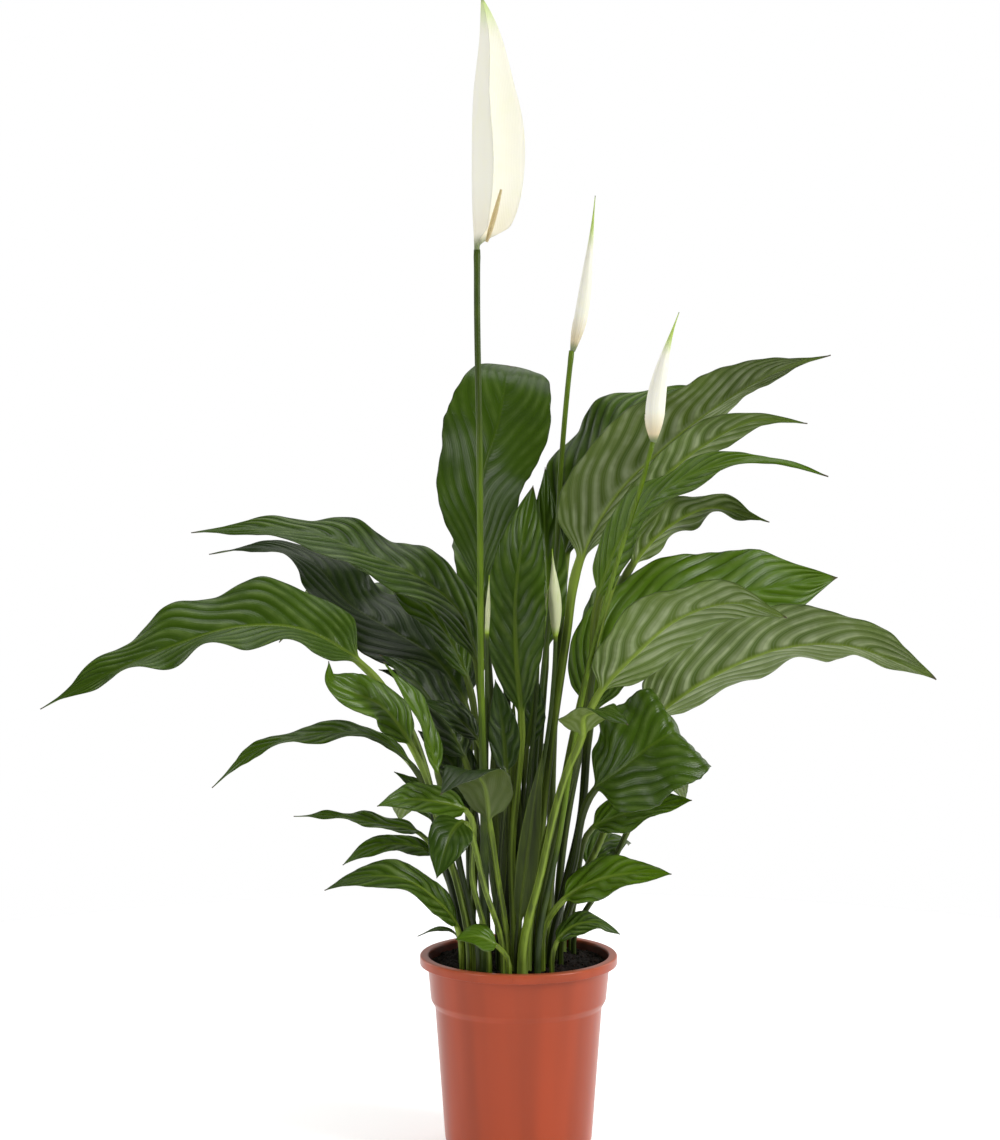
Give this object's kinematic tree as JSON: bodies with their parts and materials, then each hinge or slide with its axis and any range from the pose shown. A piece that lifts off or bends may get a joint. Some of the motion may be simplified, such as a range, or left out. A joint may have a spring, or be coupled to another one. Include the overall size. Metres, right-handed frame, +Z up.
{
  "type": "potted peace lily",
  "caption": "Peace lily houseplant in a plastic nursery pot: a clump of arching waved leaves under white hooded spathes on tall stalks.",
  "frame": {"origin": "centre of the pot's flat base, on the surface that the pot stands on", "axes": "+Z up through the plant, -Y towards the front of the picture, +X to its right"},
  "size_m": [0.7438, 0.4733, 0.98],
  "materials": {
    "pot": "satin moulded polypropylene, terracotta-coloured",
    "soil": "damp crumbly potting mix",
    "leaf": "glossy green leaf, paler below",
    "stalk": "satin green flower stalk",
    "spathe": "matte ivory white with a lime-green tip",
    "spadix": "matte knobbly pale tan",
    "bud": "satin pale green-white"
  },
  "bodies": {
    "root": {"pot": "pot", "soil": "soil", "leaf_upper_right": "leaf", "leaf_upper_right_behind": "leaf", "leaf_second_right": "leaf", "leaf_third_right": "leaf", "leaf_fourth_right": "leaf", "leaf_middle_right": "leaf", "leaf_middle_right_front": "leaf", "leaf_lower_right": "leaf", "leaf_round_right": "leaf", "leaf_upper_left": "leaf", "leaf_left_between": "leaf", "leaf_left_behind": "leaf", "leaf_far_left": "leaf", "leaf_top_centre": "leaf", "leaf_centre": "leaf", "leaf_rear_centre": "leaf", "leaf_rear_left": "leaf", "leaf_rear_right": "leaf", "leaf_small_right_high": "leaf", "leaf_small_right_behind": "leaf", "leaf_small_right": "leaf", "leaf_small_right_low": "leaf", "leaf_small_left_curled": "leaf", "leaf_small_left_folded": "leaf", "leaf_small_far_left": "leaf", "leaf_small_left_point": "leaf", "leaf_small_left_front": "leaf", "leaf_small_left_thin": "leaf", "leaf_small_left_middle": "leaf", "leaf_small_down": "leaf", "leaf_small_left_low": "leaf", "leaf_rim_left": "leaf", "leaf_rim_front": "leaf", "leaf_hood_left": "leaf", "leaf_hood_right": "leaf", "leaf_centre_behind": "leaf", "leaf_inner_left_high": "leaf", "leaf_inner_left_small": "leaf", "leaf_inner_left_low": "leaf", "leaf_inner_front": "leaf", "leaf_inner_right": "leaf", "leaf_inner_left_back": "leaf", "leaf_rear_small_left": "leaf", "leaf_rear_small_centre": "leaf", "leaf_rear_small_right": "leaf", "leaf_sheath_left": "leaf", "leaf_sheath_middle": "leaf", "leaf_sheath_right": "leaf", "flower_stalk_tall": "stalk", "flower_stalk_middle": "stalk", "flower_stalk_right": "stalk", "spathe_middle": "spathe", "spathe_right": "spathe", "bud_left": "bud", "bud_middle": "bud", "bud_right": "bud", "spathe_tall": "spathe", "spadix_tall": "spadix"}
  },
  "joints": []
}
